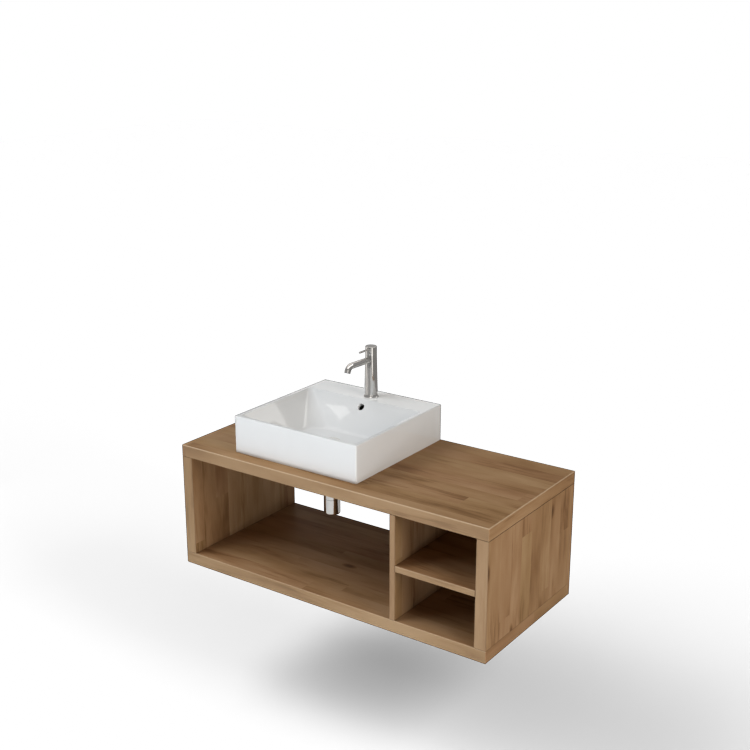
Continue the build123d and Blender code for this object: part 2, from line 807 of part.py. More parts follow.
# Tap body: tapered shell with a ball-shaped top rim, the cartridge bore, the spout seat, and
# the inlets and stud hole in its foot
foot_level = rim_level + spigot_lift
inlet_points = [(side * inlet_spacing / 2, inlet_offset) for side in (-1, 1)]
with BuildPart() as tap_body:
    with BuildSketch(turned_plane(tap_x, tap_y)):
        with BuildLine():
            low_angle = degrees(acos(cap_radius / seat_sphere))
            high_angle = degrees(acos(cartridge_bore_radius / seat_sphere))
            seat_arc = CenterArc((0, pivot_level), seat_sphere, low_angle, high_angle - low_angle)
            Polyline(
                seat_arc @ 1,
                (cartridge_bore_radius, cartridge_low),
                (0, cartridge_low),
                (0, foot_level),
                (spigot_radius, foot_level),
                (spigot_radius, ring_top),
                (body_foot_radius, ring_top),
                seat_arc @ 0,
            )
        make_face()
    revolve(axis=Axis((tap_x, tap_y, 0), (0, 0, 1)))
    with BuildSketch(spout_root_plane.offset(-seat_gap)):
        Circle(spout_radius + spout_seat_play)
    extrude(amount=base_ring_radius, mode=Mode.SUBTRACT)
    with BuildSketch(spout_root_plane):
        Circle(spout_passage_radius)
    extrude(amount=-spout_root, mode=Mode.SUBTRACT)
    with BuildSketch(Plane((tap_x, tap_y, foot_level))):
        with Locations(*inlet_points):
            Circle(inlet_radius)
    extrude(amount=inlet_depth, mode=Mode.SUBTRACT)
    with BuildSketch(Plane((tap_x, tap_y, foot_level))):
        with Locations((0, -stud_offset)):
            Circle(stud_radius + thread_play)
    extrude(amount=stud_depth, mode=Mode.SUBTRACT)
finish(tap_body, "tap_body")

# Cartridge: fixed housing, ring nut above it, and the rotor that carries the lever's pivot
rotor_top = pivot_level - stem_boss_radius - seat_gap
rotor_low = rotor_top - rotor_height
housing_top = rotor_top + rotor_end_gap
housing_radius = cartridge_bore_radius - cartridge_play
with BuildPart() as cartridge_housing:
    turned(tap_x, tap_y, [
        (0, cartridge_low),
        (housing_radius, cartridge_low),
        (housing_radius, housing_top),
        (rotor_radius, housing_top),
        (rotor_radius, rotor_low - rotor_end_gap),
        (0, rotor_low - rotor_end_gap),
    ])
finish(cartridge_housing, "cartridge_housing")

with BuildPart() as cartridge_nut:
    ring(Plane((tap_x, tap_y, housing_top)), cartridge_nut_height, housing_radius, cartridge_nut_bore)
finish(cartridge_nut, "cartridge_nut")

pivot_plane = Plane((tap_x, tap_y, pivot_level), x_dir=(0, 1, 0), z_dir=(1, 0, 0))
ear_inner = stem_half_width + ear_gap
finger_swing = finger_length * sin(radians(lever_lift_angle))
with BuildPart() as cartridge_rotor:
    with BuildSketch(Plane((tap_x, tap_y, rotor_low))):
        Circle(rotor_radius - rotor_play)
    extrude(amount=rotor_height)
    with BuildSketch(pivot_plane.offset(ear_inner)):
        with Locations((0, -stem_boss_radius / 2)):
            Rectangle(ear_length, stem_boss_radius + 2 * seat_gap)
        Circle(ear_length / 2)
    ear = extrude(amount=ear_thickness)
    mirror(ear, about=Plane.YZ.offset(tap_x))
    with BuildSketch(pivot_plane.offset(-ear_inner - ear_thickness)):
        Circle(pivot_pin_radius + pin_seat_play)
    extrude(amount=2 * (ear_inner + ear_thickness), mode=Mode.SUBTRACT)
    with BuildSketch(Plane((tap_x, tap_y, rotor_top))):
        with Locations((0, -finger_swing / 2)):
            Rectangle(2 * (finger_radius + finger_play), finger_swing + 2 * (finger_radius + finger_play))
    extrude(amount=-(finger_length - stem_boss_radius + finger_play), mode=Mode.SUBTRACT)
finish(cartridge_rotor, "cartridge_rotor")

with BuildPart() as lever_pivot_pin:
    with BuildSketch(pivot_plane.offset(-ear_inner - ear_thickness)):
        Circle(pivot_pin_radius)
    extrude(amount=2 * (ear_inner + ear_thickness))
finish(lever_pivot_pin, "lever_pivot_pin")

# Lever stem: boss on the pivot pin, finger into the rotor, shaft up into the handle cap
cap_top = rim_level + tap_height
stem_top = cap_top - stem_top_cover
with BuildPart() as lever_stem:
    with BuildSketch(pivot_plane.offset(-stem_half_width)):
        Circle(stem_boss_radius)
    extrude(amount=2 * stem_half_width)
    with BuildSketch(Plane((tap_x, tap_y, pivot_level))):
        Circle(stem_radius)
    extrude(amount=stem_top - pivot_level)
    with BuildSketch(Plane((tap_x, tap_y, pivot_level))):
        Circle(finger_radius)
    extrude(amount=-finger_length)
    with BuildSketch(pivot_plane.offset(-stem_half_width)):
        Circle(pivot_pin_radius + pivot_play)
    extrude(amount=2 * stem_half_width, mode=Mode.SUBTRACT)
finish(lever_stem, "lever_stem")

# Handle cap with a ball-shaped hollow below, so that it tips and turns over the body's rim
lever_plane = Plane((tap_x, tap_y, rim_level + lever_rod_height), x_dir=(1, 0, 0), z_dir=(0, -1, 0))
screw_plane = Plane((tap_x, tap_y, rim_level + set_screw_height), x_dir=(1, 0, 0), z_dir=(0, 1, 0))
with BuildPart() as handle_cap:
    with BuildSketch(turned_plane(tap_x, tap_y)):
        with BuildLine():
            rim_angle = degrees(acos(cap_radius / handle_sphere_radius))
            hollow = CenterArc((0, pivot_level), handle_sphere_radius, rim_angle, 90 - rim_angle)
            Polyline(hollow @ 1, (0, cap_top), (cap_radius, cap_top), hollow @ 0)
        make_face()
    revolve(axis=Axis((tap_x, tap_y, 0), (0, 0, 1)))
    fillet(handle_cap.faces().sort_by(Axis.Z)[-1].edges(), cap_edge_radius)
    with BuildSketch(Plane((tap_x, tap_y, pivot_level))):
        Circle(stem_radius + stem_play)
    extrude(amount=stem_top + seat_gap - pivot_level, mode=Mode.SUBTRACT)
    with BuildSketch(lever_plane.offset(lever_rod_root - seat_gap)):
        Circle(lever_rod_radius + pin_seat_play)
    extrude(amount=cap_radius, mode=Mode.SUBTRACT)
    with BuildSketch(screw_plane):
        Circle(set_screw_radius + thread_play)
    extrude(amount=cap_radius, mode=Mode.SUBTRACT)
finish(handle_cap, "handle_cap")

with BuildPart() as lever_rod:
    with BuildSketch(lever_plane.offset(lever_rod_root)):
        Circle(lever_rod_radius)
    extrude(amount=lever_rod_reach - lever_rod_root)
    fillet(lever_rod.faces().sort_by(Axis.Y)[0].edges(), lever_tip_radius)
finish(lever_rod, "lever_rod")

with BuildPart() as handle_set_screw:
    with BuildSketch(screw_plane.offset(stem_radius + stem_play)):
        Circle(set_screw_radius)
    extrude(amount=set_screw_length)
    with BuildSketch(screw_plane.offset(stem_radius + stem_play + set_screw_length)):
        RegularPolygon(set_screw_socket_radius, hex_sides)
    extrude(amount=-set_screw_socket_depth, mode=Mode.SUBTRACT)
finish(handle_set_screw, "handle_set_screw")

# Fixing set under the ledge: stud, horseshoe gasket and washer that let the hoses pass, nut
ledge_underside = rim_level - ledge_thickness


def horseshoe(low, thickness):
    """Round plate with a stud hole in front and a slot to the back for the hoses."""
    with BuildSketch(Plane((tap_x, tap_y, low))) as plate:
        Circle(horseshoe_radius)
        with Locations((0, horseshoe_radius - horseshoe_web)):
            Rectangle(horseshoe_slot, 2 * horseshoe_radius, mode=Mode.SUBTRACT)
        with Locations((0, -stud_offset)):
            Circle(stud_radius + thread_play, mode=Mode.SUBTRACT)
    extrude(plate.sketch, amount=thickness)


with BuildPart() as fixing_stud:
    with BuildSketch(Plane((tap_x, tap_y - stud_offset, rim_level - stud_drop))):
        Circle(stud_radius)
    extrude(amount=stud_drop + spigot_lift + stud_depth - seat_gap)
finish(fixing_stud, "fixing_stud")

gasket_low = ledge_underside - stud_gasket_thickness
with BuildPart() as stud_gasket:
    horseshoe(gasket_low, stud_gasket_thickness)
finish(stud_gasket, "stud_gasket")

plate_low = gasket_low - stud_washer_thickness
with BuildPart() as stud_washer:
    horseshoe(plate_low, stud_washer_thickness)
finish(stud_washer, "stud_washer")

with BuildPart() as stud_nut:
    with BuildSketch(Plane((tap_x, tap_y - stud_offset, plate_low - stud_nut_height))):
        RegularPolygon(stud_nut_radius, hex_sides)
        Circle(stud_radius + thread_play, mode=Mode.SUBTRACT)
    extrude(amount=stud_nut_height)
finish(stud_nut, "stud_nut")
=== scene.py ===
from math import cos, pi, radians, sin, tan

import bpy
import numpy as np
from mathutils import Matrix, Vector


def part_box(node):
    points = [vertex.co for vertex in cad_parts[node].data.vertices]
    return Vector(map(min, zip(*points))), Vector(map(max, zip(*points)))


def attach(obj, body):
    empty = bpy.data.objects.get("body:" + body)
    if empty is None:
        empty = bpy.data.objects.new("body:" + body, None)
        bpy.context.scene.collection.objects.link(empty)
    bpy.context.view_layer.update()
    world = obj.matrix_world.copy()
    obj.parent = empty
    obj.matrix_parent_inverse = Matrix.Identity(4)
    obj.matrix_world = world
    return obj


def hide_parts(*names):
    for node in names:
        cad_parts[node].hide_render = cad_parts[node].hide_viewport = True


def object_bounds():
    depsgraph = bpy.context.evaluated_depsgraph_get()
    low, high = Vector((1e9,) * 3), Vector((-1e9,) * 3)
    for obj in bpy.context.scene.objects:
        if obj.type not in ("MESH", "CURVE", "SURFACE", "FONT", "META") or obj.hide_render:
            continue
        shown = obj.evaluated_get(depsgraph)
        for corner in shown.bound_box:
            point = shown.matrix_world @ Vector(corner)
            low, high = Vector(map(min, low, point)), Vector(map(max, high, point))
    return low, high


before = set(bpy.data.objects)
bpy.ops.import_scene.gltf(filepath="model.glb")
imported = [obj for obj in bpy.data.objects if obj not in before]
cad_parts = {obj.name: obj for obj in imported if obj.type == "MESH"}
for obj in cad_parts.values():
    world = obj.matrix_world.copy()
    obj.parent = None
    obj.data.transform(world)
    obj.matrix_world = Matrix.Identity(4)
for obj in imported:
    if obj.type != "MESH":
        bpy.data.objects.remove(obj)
cad_low, cad_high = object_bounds()

# Cabinet boards: thick top, bottom and sides, a thinner divider and shelf, and two rear rails.
# Particle board with an oak-look foil and banded edges, joined by hidden glued dowels. The grain
# runs along the level boards and up the standing ones.
oak_dark = (0.095, 0.046, 0.019, 1)
oak_brown = (0.232, 0.121, 0.052, 1)
oak_mid = (0.323, 0.185, 0.088, 1)
oak_light = (0.408, 0.253, 0.134, 1)
# Painted highlight for the upper edges of the lying boards.
arris_highlight_paint = (0.620, 0.465, 0.320, 1)
# Painted shade for the joints between boards; the same colour also draws the dark line where a standing
# board's edge band meets its faces.
seam_shade_and_band_line = (0.055, 0.032, 0.018, 1)
band_grey = (0.360, 0.270, 0.185, 1)
stave_width = 0.058
stave_length = 1.15
stave_shift = (0.9, 0.05, 0.05)
grain_sway = 0.09
knot_spread = (4.2, 9.5, 9.5)
knots_left_out = 0.60
hue_low = 0.496
hue_high = 0.504
band_share = 0.3
facing_least = 0.6
arris_width = 0.0034
lit_arris_share = 0.85
dim_arris_share = 0.40
upright_edge_share = 0.35
seam_width = 0.0016
seam_share = 0.85
oak_sheen = 0.06
board_shift = (1.37, 0.613, 2.19)


def node(tree, kind, inputs=None, **settings):
    """Add one shader node: settings are its properties, inputs its sockets, as values or as links."""
    made = tree.nodes.new(kind)
    for key, value in settings.items():
        setattr(made, key, value)
    for key, value in (inputs or {}).items():
        if isinstance(value, bpy.types.NodeSocket):
            tree.links.new(value, made.inputs[key])
        else:
            made.inputs[key].default_value = value
    return made


def new_material(name):
    """Empty node material with its surface shader, returned as the material, tree and shader."""
    material = bpy.data.materials.new(name)
    material.use_nodes = True
    tree = material.node_tree
    return material, tree, tree.nodes["Principled BSDF"]


def math(tree, operation, first, second=0.0):
    """One sum on two values."""
    return node(tree, "ShaderNodeMath", {0: first, 1: second}, operation=operation).outputs[0]


def stretched_noise(tree, place, along, across, detail, roughness=0.5):
    """Noise drawn out along X: so many cells in a metre along the grain, and so many across it."""
    scaled = node(tree, "ShaderNodeMapping", {"Vector": place, "Scale": (along, across, across)})
    return node(tree, "ShaderNodeTexNoise", {
        "Vector": scaled.outputs["Vector"],
        "Scale": 1.0,
        "Detail": detail,
        "Roughness": roughness,
    }).outputs["Fac"]


def mapped(tree, value, low, high, to_low, to_high):
    """Straight line from one range of values to another, held at its ends."""
    return node(tree, "ShaderNodeMapRange", {
        "Value": value, "From Min": low, "From Max": high, "To Min": to_low, "To Max": to_high,
    }).outputs["Result"]


def face_distances(tree, place, low, high):
    """Distance from a point of a board to the nearer of its two faces, along each axis."""
    axes = node(tree, "ShaderNodeSeparateXYZ", {"Vector": place}).outputs
    from_low = [math(tree, "SUBTRACT", axis, low[i]) for i, axis in enumerate(axes)]
    from_high = [math(tree, "SUBTRACT", high[i], axis) for i, axis in enumerate(axes)]
    return [math(tree, "MINIMUM", *ends) for ends in zip(from_low, from_high)]


def along_edge_bands(tree, coordinates):
    """Place on a lying board, with X and Y swapped on its ends, where the band's grain runs along Y."""
    place, normal = coordinates["Object"], coordinates["Normal"]
    end = math(tree, "ABSOLUTE", node(tree, "ShaderNodeSeparateXYZ", {"Vector": normal}).outputs["X"])
    axes = node(tree, "ShaderNodeSeparateXYZ", {"Vector": place}).outputs
    swapped = node(tree, "ShaderNodeCombineXYZ", {
        "X": axes["Y"], "Y": axes["X"], "Z": axes["Z"],
    }).outputs[0]
    return node(tree, "ShaderNodeMix", {
        "Factor": math(tree, "GREATER_THAN", end, facing_least), "A": place, "B": swapped,
    }, data_type="VECTOR").outputs["Result"]


def oak_board(name, upright, shift, seam_axis, lit_ends):
    """Oak-look board: staves with a cloudy grain of their own, dark streaks in loose groups, a few
    knots, fibres and pores. Front and back carry a greyer edge band with no knots, and a standing board
    has a dark line where its band meets the faces. A lying board has a painted highlight along the
    edges of its upper face, and painted shade marks the joints where a board's ends meet others."""
    material, tree, shader = new_material(f"oak_{name}")
    coordinates = node(tree, "ShaderNodeTexCoord").outputs
    place = coordinates["Object"]
    laid = place if upright else along_edge_bands(tree, coordinates)
    turn = (0, pi / 2, 0) if upright else (0, 0, 0)
    grain = node(tree, "ShaderNodeMapping", {
        "Vector": laid, "Rotation": turn, "Location": shift,
    }).outputs[0]

    facing = node(tree, "ShaderNodeSeparateXYZ", {"Vector": coordinates["Normal"]}).outputs["Y"]
    edge_band = math(tree, "GREATER_THAN", math(tree, "ABSOLUTE", facing), facing_least)
    broad_face = math(tree, "SUBTRACT", 1.0, edge_band)

    run = node(tree, "ShaderNodeSeparateXYZ", {"Vector": grain}).outputs
    row = math(tree, "FLOOR", math(tree, "DIVIDE", run["Y"], stave_width))
    start = node(tree, "ShaderNodeTexWhiteNoise", {"W": row}, noise_dimensions="1D").outputs["Value"]
    count = math(tree, "FLOOR", math(tree, "ADD", math(tree, "DIVIDE", run["X"], stave_length), start))
    block = math(tree, "MULTIPLY", count, broad_face)
    place_in_row = node(tree, "ShaderNodeCombineXYZ", {"X": row, "Y": block}).outputs[0]
    stave = node(tree, "ShaderNodeTexWhiteNoise", {
        "Vector": place_in_row,
    }, noise_dimensions="2D").outputs

    sway = math(tree, "SUBTRACT", stretched_noise(tree, grain, 1.5, 6.0, 2.0), 0.5)
    bend = math(tree, "MULTIPLY", sway, grain_sway)
    sideways = node(tree, "ShaderNodeCombineXYZ", {"Y": bend, "Z": bend}).outputs[0]
    swayed = node(tree, "ShaderNodeVectorMath", {0: grain, 1: sideways}, operation="ADD").outputs[0]
    bent = node(tree, "ShaderNodeVectorMath", {
        0: stave["Color"], 1: stave_shift, 2: swayed,
    }, operation="MULTIPLY_ADD").outputs[0]

    knot_cells = node(tree, "ShaderNodeMapping", {"Vector": bent, "Scale": knot_spread}).outputs[0]
    knot = node(tree, "ShaderNodeTexVoronoi", {"Vector": knot_cells, "Scale": 1.0}).outputs
    drawn = node(tree, "ShaderNodeSeparateColor", {"Color": knot["Color"]}).outputs["Red"]
    kept = math(tree, "MULTIPLY", math(tree, "GREATER_THAN", drawn, knots_left_out), broad_face)
    knot_core = math(tree, "MULTIPLY", mapped(tree, knot["Distance"], 0.04, 0.13, 1.0, 0.0), kept)
    knot_halo = math(tree, "MULTIPLY", mapped(tree, knot["Distance"], 0.10, 0.36, 1.0, 0.0), kept)

    cloud = stretched_noise(tree, bent, 3.4, 11.0, 3.0)
    band = stretched_noise(tree, bent, 1.2, 26.0, 2.0)
    zone = stretched_noise(tree, bent, 2.6, 15.0, 2.0)
    streak = stretched_noise(tree, bent, 5.5, 80.0, 5.0, 0.6)
    fibre = stretched_noise(tree, grain, 16.0, 620.0, 3.0)
    pore = stretched_noise(tree, grain, 75.0, 1700.0, 1.0)
    dark_streak = mapped(tree, streak, 0.46, 0.66, 0.0, 1.0)
    grouped = math(tree, "MULTIPLY", dark_streak, mapped(tree, zone, 0.44, 0.62, 0.0, 1.0))

    depth = 0.0
    for share, part in (
        (0.68, cloud),
        (0.17, band),
        (0.08, stave["Value"]),
        (0.12, fibre),
        (-0.20, grouped),
        (-0.34, knot_core),
        (-0.07, knot_halo),
    ):
        depth = math(tree, "ADD", math(tree, "MULTIPLY", part, share), depth)
    ramp = node(tree, "ShaderNodeValToRGB", {"Fac": depth})
    ramp.color_ramp.elements[0].position = 0.12
    ramp.color_ramp.elements[0].color = oak_dark
    ramp.color_ramp.elements[1].position = 0.67
    ramp.color_ramp.elements[1].color = oak_light
    ramp.color_ramp.elements.new(0.365).color = oak_brown
    ramp.color_ramp.elements.new(0.495).color = oak_mid

    warmth = node(tree, "ShaderNodeSeparateColor", {"Color": stave["Color"]}).outputs["Green"]
    toned = node(tree, "ShaderNodeHueSaturation", {
        "Hue": mapped(tree, warmth, 0.0, 1.0, hue_low, hue_high), "Color": ramp.outputs["Color"],
    }).outputs["Color"]

    pore_mark = mapped(tree, pore, 0.64, 0.72, 0.0, 0.22)
    pored = node(tree, "ShaderNodeMix", {
        "Factor": pore_mark, "A": toned, "B": oak_dark,
    }, data_type="RGBA").outputs["Result"]
    color = node(tree, "ShaderNodeMix", {
        "Factor": math(tree, "MULTIPLY", edge_band, band_share), "A": pored, "B": band_grey,
    }, data_type="RGBA").outputs["Result"]
    board_low, board_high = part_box(name)
    near = face_distances(tree, place, board_low, board_high)
    # Standing boards: a dark line where the edge band meets the faces, along the upright edges. Lying
    # boards: a painted highlight along the edges of the upper face, stronger on the top board.
    if upright:
        edge = math(tree, "MAXIMUM", near[0], near[1])
        edge_share = upright_edge_share
        edge_color = seam_shade_and_band_line
    else:
        height = node(tree, "ShaderNodeSeparateXYZ", {"Vector": place}).outputs["Z"]
        from_top = math(tree, "SUBTRACT", board_high.z, height)
        from_side = math(tree, "MINIMUM", near[0], near[1]) if lit_ends else near[1]
        edge = math(tree, "MAXIMUM", from_side, from_top)
        edge_share = lit_arris_share if lit_ends else dim_arris_share
        edge_color = arris_highlight_paint
    color = node(tree, "ShaderNodeMix", {
        "Factor": mapped(tree, edge, 0.0, arris_width, edge_share, 0.0), "A": color, "B": edge_color,
    }, data_type="RGBA").outputs["Result"]
    # Painted shade in the joint where the board's ends meet the next board.
    if seam_axis is not None:
        seam = mapped(tree, near[seam_axis], 0.0, seam_width, seam_share, 0.0)
        color = node(tree, "ShaderNodeMix", {
            "Factor": seam, "A": color, "B": seam_shade_and_band_line,
        }, data_type="RGBA").outputs["Result"]
    tree.links.new(color, shader.inputs["Base Color"])

    rough = mapped(tree, streak, 0.3, 0.7, 0.60, 0.48)
    tree.links.new(rough, shader.inputs["Roughness"])
    relief = math(tree, "SUBTRACT", math(tree, "MULTIPLY", fibre, 0.5), pore_mark)
    bump = node(tree, "ShaderNodeBump", {"Height": relief, "Strength": 0.25, "Distance": 0.0004})
    tree.links.new(bump.outputs["Normal"], shader.inputs["Normal"])
    shader.inputs["Specular IOR Level"].default_value = oak_sheen
    return material


def finish_node(name, material):
    """Give a carried-over CAD node its finish."""
    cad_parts[name].material_slots[0].material = material


for number, (board, upright, seam_axis, lit_ends) in enumerate([
    ("top_board", False, None, True),
    ("bottom_board", False, None, False),
    ("niche_shelf", False, 0, False),
    ("bay_rail", False, 0, False),
    ("niche_rail", False, 0, False),
    ("left_side", True, 2, False),
    ("right_side", True, 2, False),
    ("divider", True, 2, False),
]):
    shift = [step * number for step in board_shift]
    finish_node(board, oak_board(board, upright, shift, seam_axis, lit_ends))

# Dowels: round beech pins, glued half in one board and half in the next, unseen once it is put
# together. Raw wood with a fine straight grain.
beech_pale = (0.62, 0.44, 0.27, 1)
beech_brown = (0.50, 0.33, 0.19, 1)
material, tree, shader = new_material("beech")
place = node(tree, "ShaderNodeTexCoord").outputs["Object"]
flecks = stretched_noise(tree, place, 60.0, 900.0, 3.0)
beech = node(tree, "ShaderNodeMix", {
    "Factor": flecks, "A": beech_pale, "B": beech_brown,
}, data_type="RGBA")
tree.links.new(beech.outputs["Result"], shader.inputs["Base Color"])
tree.links.new(mapped(tree, flecks, 0.3, 0.7, 0.7, 0.55), shader.inputs["Roughness"])
for dowels in ("side_dowels", "divider_dowels", "shelf_dowels", "rail_dowels"):
    finish_node(dowels, material)

# Basin: white glazed ceramic, slip-cast with hollow walls, standing on the top board. Its four
# inner walls follow one section, a flat slope that runs out in an arc to the level floor.
basin_low, basin_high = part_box("basin")
rim_width = 0.012
rim_round = 0.003
foot_round = 0.0012
ledge_depth = 0.096
ledge_thickness = 0.012
ledge_loops = (0.2, 0.4, 0.6, 0.8, 0.985, 1.0)
ledge_fall = 0.0005
wall_loop_inset = 0.02
slope_start = 0.004
bowl_depth = 0.094
bowl_slope = radians(50)
bowl_floor_depth = 0.168
bowl_corner = 0.012
bowl_corner_swell = 0.048
basin_corner = 0.005
shell_thickness = 0.008
drain_hole = 0.023
drain_recess = 0.0330
drain_recess_depth = 0.002
drain_collar = 0.042
tap_hole = 0.0175
overflow_radius = 0.011
overflow_round = 0.0015
overflow_drop = 0.021
throat_depth = 0.0115
throat_flare = 0.001
overflow_cut = 0.012
tap_cut = 0.020
cut_overrun = 0.004
crease_angle = 40
glaze_white = (0.805, 0.805, 0.805, 1)
glaze_grey = (0.765, 0.765, 0.765, 1)

rim_level = basin_high.z
foot_level = basin_low.z
basin_x = (basin_low.x + basin_high.x) / 2
basin_y = (basin_low.y + basin_high.y) / 2
outer_x = (basin_high.x - basin_low.x) / 2
outer_y = (basin_high.y - basin_low.y) / 2
bowl_x = outer_x - rim_width
bowl_y = outer_y - (rim_width + ledge_depth) / 2
drain_y = basin_high.y - ledge_depth - bowl_y
floor_inset = bowl_y - bowl_floor_depth / 2
bowl_radius = (floor_inset - bowl_depth / tan(bowl_slope)) / tan(bowl_slope / 2)
arc_centre_depth = bowl_depth - bowl_radius
slope_end = floor_inset - bowl_radius * sin(bowl_slope)


def rounded_rectangle(half_x, half_y, corner, side_points=36, corner_points=9):
    """Loop of points round a rectangle: four straight sides, then a quarter circle at each corner."""
    quarter = np.linspace(0, pi / 2, corner_points)
    arc = np.stack([np.cos(quarter), np.sin(quarter)], axis=1) * corner
    sides = [(1, 1, 0), (-1, 1, 1), (-1, -1, 2), (1, -1, 3)]
    turned = [np.stack([
        arc[:, 0] * cos(k * pi / 2) - arc[:, 1] * sin(k * pi / 2) + sx * (half_x - corner),
        arc[:, 0] * sin(k * pi / 2) + arc[:, 1] * cos(k * pi / 2) + sy * (half_y - corner),
    ], axis=1) for sx, sy, k in sides]
    share = np.linspace(0, 1, side_points + 2)[1:-1, None]
    straight = [turned[k][-1] * (1 - share) + turned[(k + 1) % 4][0] * share for k in range(4)]
    return np.concatenate([part for k in range(4) for part in (turned[k], straight[k])])


def circle_like(loop, radius):
    """Circle whose points lie in the same directions as the points of a loop."""
    return loop / np.linalg.norm(loop, axis=1, keepdims=True) * radius


def bowl_corner_at(drop):
    """Corner radius of the bowl at a depth: it grows towards the floor."""
    return bowl_corner + bowl_corner_swell * drop / bowl_depth


def basin_loops():
    """Loops from the foot up the outside, over the rim, down the bowl, through the waste hole and back
    along the hollow underside: each a rounded rectangle or circle at its own height."""
    loops = []

    def outer(inset, height, corner):
        shape = rounded_rectangle(outer_x - inset, outer_y - inset, corner)
        loops.append(np.column_stack([shape + (basin_x, basin_y), np.full(len(shape), height)]))

    def bowl(inset, height, outset=0.0):
        corner = bowl_corner_at(rim_level - height) + outset
        shape = rounded_rectangle(bowl_x - inset, bowl_y - inset, corner)
        loops.append(np.column_stack([shape + (basin_x, drain_y), np.full(len(shape), height)]))

    def round_hole(radius, height):
        shape = circle_like(rounded_rectangle(bowl_x, bowl_y, bowl_corner), radius)
        loops.append(np.column_stack([shape + (basin_x, drain_y), np.full(len(shape), height)]))

    for turn in np.linspace(0, pi / 2, 4):
        outer(foot_round * (1 - sin(turn)), foot_level + foot_round * (1 - cos(turn)), basin_corner)
    for height in np.linspace(foot_level + wall_loop_inset, rim_level - wall_loop_inset, 6):
        outer(0, height, basin_corner)
    for turn in np.linspace(0, pi / 2, 7):
        inset = rim_round * (1 - cos(turn))
        outer(inset, rim_level - rim_round * (1 - sin(turn)), basin_corner - inset)

    edge = rim_round * tan(bowl_slope / 2)
    rim_loop = loops[-1]
    bowl(-edge, rim_level)
    lip_loop = loops.pop()
    for share in ledge_loops:
        loops.append(rim_loop * (1 - share) + lip_loop * share)
    for turn in np.linspace(0, bowl_slope, 6)[1:]:
        bowl(rim_round * sin(turn) - edge, rim_level - rim_round * (1 - cos(turn)))
    for inset in np.linspace(slope_start, slope_end, 16):
        bowl(inset, rim_level - inset * tan(bowl_slope))
    arc_level = rim_level - arc_centre_depth
    for turn in np.linspace(bowl_slope, 0, 15)[1:]:
        bowl(floor_inset - bowl_radius * sin(turn), arc_level - bowl_radius * cos(turn))

    floor_loop = loops[-1]
    floor_level = rim_level - bowl_depth
    round_hole(drain_recess, floor_level)
    recess_loop = loops.pop()
    for share in np.linspace(0, 1, 10)[1:]:
        loops.append(floor_loop * (1 - share) + recess_loop * share)
    round_hole(drain_recess, floor_level - drain_recess_depth)
    round_hole(drain_hole, floor_level - drain_recess_depth)
    round_hole(drain_hole, foot_level)
    round_hole(drain_collar, foot_level)
    round_hole(drain_collar, floor_level - shell_thickness)

    ledge_underside = rim_level - ledge_thickness
    swing = bowl_radius + shell_thickness
    for turn in np.linspace(0, bowl_slope, 8):
        bowl(floor_inset - swing * sin(turn), arc_level - swing * cos(turn), shell_thickness)
    top_inset = (ledge_thickness - shell_thickness / cos(bowl_slope)) / tan(bowl_slope)
    bowl(top_inset, ledge_underside, shell_thickness)
    outer(rim_width, ledge_underside - ledge_fall, basin_corner)
    outer(rim_width, foot_level, basin_corner)
    return np.array(loops)


def grid_mesh(name, grid, wrap_rows=False):
    """Mesh of four-sided faces over rows of points. Columns close on themselves, rows where asked."""
    rows, columns = grid.shape[:2]
    index = np.arange(rows * columns).reshape(rows, columns)
    index = np.concatenate([index, index[:, :1]], axis=1)
    if wrap_rows:
        index = np.concatenate([index, index[:1]])
    corners = [index[:-1, :-1], index[:-1, 1:], index[1:, 1:], index[1:, :-1]]
    faces = np.stack(corners, axis=-1).reshape(-1, 4)
    mesh = bpy.data.meshes.new(name)
    mesh.vertices.add(rows * columns)
    mesh.vertices.foreach_set("co", grid.astype(np.float32).ravel())
    mesh.loops.add(faces.size)
    mesh.loops.foreach_set("vertex_index", faces.astype(np.int32).ravel())
    mesh.polygons.add(len(faces))
    mesh.polygons.foreach_set("loop_start", np.arange(0, faces.size, 4, dtype=np.int32))
    mesh.update(calc_edges=True)
    made = bpy.data.objects.new(name, mesh)
    bpy.context.scene.collection.objects.link(made)
    return made


def smooth(piece, sharp_from):
    """Smooth shading, with edges sharper than an angle kept crisp."""
    piece.data.polygons.foreach_set("use_smooth", np.ones(len(piece.data.polygons), bool))
    piece.data.set_sharp_from_angle(angle=radians(sharp_from))


def turned_about(profile, centre, axis, side, segments=64):
    """Profile of (radius, way along the axis) pairs carried round an axis through a centre."""
    axis, side = np.array(axis, float), np.array(side, float)
    across = np.cross(axis, side)
    turn = np.linspace(0, 2 * pi, segments, endpoint=False)
    ring = np.outer(np.cos(turn), side) + np.outer(np.sin(turn), across)
    profile = np.array(profile, float)
    return np.array(centre) + profile[:, None, :1] * ring[None] + profile[:, None, 1:] * axis


def glaze():
    """Glossy white glaze with a faint unevenness in tone, gloss and surface."""
    material, tree, shader = new_material("white_glaze")
    place = node(tree, "ShaderNodeTexCoord").outputs["Object"]
    cloud = stretched_noise(tree, place, 9.0, 9.0, 3.0)
    tint = node(tree, "ShaderNodeMix", {
        "Factor": cloud, "A": glaze_white, "B": glaze_grey,
    }, data_type="RGBA")
    tree.links.new(tint.outputs["Result"], shader.inputs["Base Color"])
    tree.links.new(mapped(tree, cloud, 0.3, 0.7, 0.015, 0.04), shader.inputs["Roughness"])
    ripple = stretched_noise(tree, place, 45.0, 45.0, 2.0)
    bump = node(tree, "ShaderNodeBump", {"Height": ripple, "Strength": 0.03, "Distance": 0.0004})
    tree.links.new(bump.outputs["Normal"], shader.inputs["Normal"])
    return material


basin = grid_mesh("basin_glazed", basin_loops(), wrap_rows=True)
white_glaze = glaze()
overflow_inset = overflow_drop / tan(bowl_slope)
overflow_centre = (basin_x, basin_high.y - ledge_depth - overflow_inset, rim_level - overflow_drop)
overflow_axis = (0, sin(bowl_slope), -cos(bowl_slope))
throat_outer = overflow_radius + overflow_round


